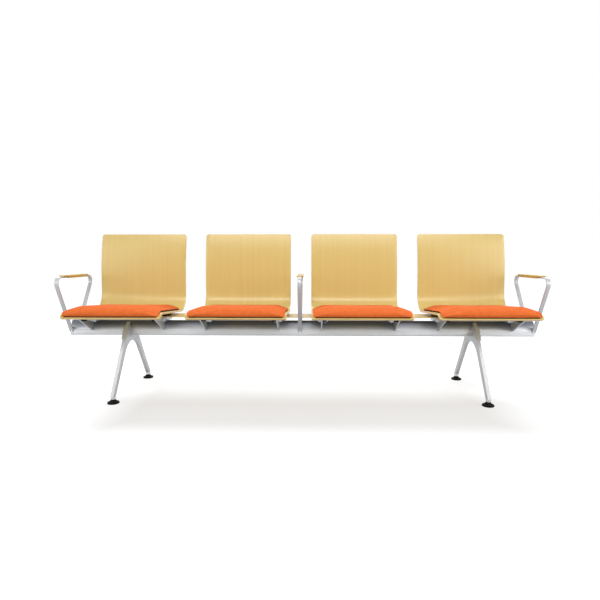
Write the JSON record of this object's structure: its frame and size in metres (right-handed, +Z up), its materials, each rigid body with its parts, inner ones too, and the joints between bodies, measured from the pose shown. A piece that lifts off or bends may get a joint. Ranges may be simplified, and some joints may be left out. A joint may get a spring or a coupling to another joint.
{
  "type": "beam seating",
  "caption": "Beam seating: moulded plywood seat shells with upholstered pads on an extruded beam, with loop armrests, infill boards and splayed legs on levelling feet.",
  "frame": {"origin": "middle of the beam's length, under the beam's centre line, at floor level", "axes": "+X along the beam to the right as seen from the front, +Y to the back, +Z up"},
  "size_m": [2.43, 0.541, 0.836],
  "materials": {
    "beam_metal": "satin silver-grey powder coat",
    "leg_metal": "satin silver-grey powder coat on cast aluminium",
    "bracket_metal": "satin silver-grey powder coat",
    "armrest_metal": "satin silver-grey powder coat",
    "armrest_wood": "clear-lacquered solid beech",
    "plywood": "clear-lacquered beech veneer",
    "upholstery": "woven wool-blend, orange",
    "pad_base": "moulded, dark",
    "mount_rubber": "moulded, black",
    "glide_plastic": "moulded, black",
    "ball_plastic": "moulded, smooth",
    "fastener_steel": "zinc plated"
  },
  "bodies": {
    "bench": {"beam": "beam_metal", "beam_end_cap_left": "beam_metal", "beam_end_cap_right": "beam_metal", "bracket_bolts": "fastener_steel", "bracket_nuts": "fastener_steel", "leg_bolts": "fastener_steel", "leg_nut_plates": "fastener_steel", "seat_shell_1": "plywood", "cushion_base_1": "pad_base", "seat_cushion_1": "upholstery", "seat_bracket_1_left": "bracket_metal", "seat_bracket_1_right": "bracket_metal", "shell_mounts_1": "mount_rubber", "seat_shell_2": "plywood", "cushion_base_2": "pad_base", "seat_cushion_2": "upholstery", "seat_bracket_2_left": "bracket_metal", "seat_bracket_2_right": "bracket_metal", "shell_mounts_2": "mount_rubber", "seat_shell_3": "plywood", "cushion_base_3": "pad_base", "seat_cushion_3": "upholstery", "seat_bracket_3_left": "bracket_metal", "seat_bracket_3_right": "bracket_metal", "shell_mounts_3": "mount_rubber", "seat_shell_4": "plywood", "cushion_base_4": "pad_base", "seat_cushion_4": "upholstery", "seat_bracket_4_left": "bracket_metal", "seat_bracket_4_right": "bracket_metal", "shell_mounts_4": "mount_rubber", "front_buffers": "mount_rubber", "shell_screws": "fastener_steel", "infill_board_1": "plywood", "infill_board_2": "plywood", "infill_board_3": "plywood", "armrest_frame_left": "armrest_metal", "armrest_cap_left": "armrest_wood", "armrest_frame_center": "armrest_metal", "armrest_cap_center": "armrest_wood", "armrest_frame_right": "armrest_metal", "armrest_cap_right": "armrest_wood", "armrest_cap_screws": "fastener_steel", "armrest_foot_screws": "fastener_steel", "leg_left": "leg_metal", "leg_right": "leg_metal"},
    "foot_ball_front_left": {"foot_ball_front_left": "ball_plastic"},
    "foot_spindle_front_left": {"foot_spindle_front_left": "fastener_steel"},
    "foot_disc_front_left": {"foot_disc_front_left": "glide_plastic"},
    "foot_ball_rear_left": {"foot_ball_rear_left": "ball_plastic"},
    "foot_spindle_rear_left": {"foot_spindle_rear_left": "fastener_steel"},
    "foot_disc_rear_left": {"foot_disc_rear_left": "glide_plastic"},
    "foot_ball_front_right": {"foot_ball_front_right": "ball_plastic"},
    "foot_spindle_front_right": {"foot_spindle_front_right": "fastener_steel"},
    "foot_disc_front_right": {"foot_disc_front_right": "glide_plastic"},
    "foot_ball_rear_right": {"foot_ball_rear_right": "ball_plastic"},
    "foot_spindle_rear_right": {"foot_spindle_rear_right": "fastener_steel"},
    "foot_disc_rear_right": {"foot_disc_rear_right": "glide_plastic"}
  },
  "joints": [
    {"name": "lift_front_left", "type": "slide", "parent": "bench", "child": "foot_ball_front_left", "axis": [0, 0, -1], "range_m": [0, 0.008]},
    {"name": "turn_front_left", "type": "hinge", "parent": "foot_ball_front_left", "child": "foot_spindle_front_left", "pos_m": [-0.9, -0.2425, 0.0345], "axis": [0, 0, -1], "range_deg": [0, 2305]},
    {"name": "tilt_front_left", "type": "hinge", "parent": "foot_ball_front_left", "child": "foot_disc_front_left", "pos_m": [-0.9, -0.2425, 0.011], "axis": [1, 0, 0], "range_deg": [-12, 12]},
    {"name": "lift_rear_left", "type": "slide", "parent": "bench", "child": "foot_ball_rear_left", "axis": [0, 0, -1], "range_m": [0, 0.008]},
    {"name": "turn_rear_left", "type": "hinge", "parent": "foot_ball_rear_left", "child": "foot_spindle_rear_left", "pos_m": [-0.9, 0.2425, 0.0345], "axis": [0, 0, -1], "range_deg": [0, 2305]},
    {"name": "tilt_rear_left", "type": "hinge", "parent": "foot_ball_rear_left", "child": "foot_disc_rear_left", "pos_m": [-0.9, 0.2425, 0.011], "axis": [1, 0, 0], "range_deg": [-12, 12]},
    {"name": "lift_front_right", "type": "slide", "parent": "bench", "child": "foot_ball_front_right", "axis": [0, 0, -1], "range_m": [0, 0.008]},
    {"name": "turn_front_right", "type": "hinge", "parent": "foot_ball_front_right", "child": "foot_spindle_front_right", "pos_m": [0.9, -0.2425, 0.0345], "axis": [0, 0, -1], "range_deg": [0, 2305]},
    {"name": "tilt_front_right", "type": "hinge", "parent": "foot_ball_front_right", "child": "foot_disc_front_right", "pos_m": [0.9, -0.2425, 0.011], "axis": [1, 0, 0], "range_deg": [-12, 12]},
    {"name": "lift_rear_right", "type": "slide", "parent": "bench", "child": "foot_ball_rear_right", "axis": [0, 0, -1], "range_m": [0, 0.008]},
    {"name": "turn_rear_right", "type": "hinge", "parent": "foot_ball_rear_right", "child": "foot_spindle_rear_right", "pos_m": [0.9, 0.2425, 0.0345], "axis": [0, 0, -1], "range_deg": [0, 2305]},
    {"name": "tilt_rear_right", "type": "hinge", "parent": "foot_ball_rear_right", "child": "foot_disc_rear_right", "pos_m": [0.9, 0.2425, 0.011], "axis": [1, 0, 0], "range_deg": [-12, 12]}
  ],
  "couplings": [
    {"joint": "turn_front_left", "follows": "lift_front_left", "rad_per_m": 5026.5},
    {"joint": "turn_rear_left", "follows": "lift_rear_left", "rad_per_m": 5026.5},
    {"joint": "turn_front_right", "follows": "lift_front_right", "rad_per_m": 5026.5},
    {"joint": "turn_rear_right", "follows": "lift_rear_right", "rad_per_m": 5026.5}
  ]
}
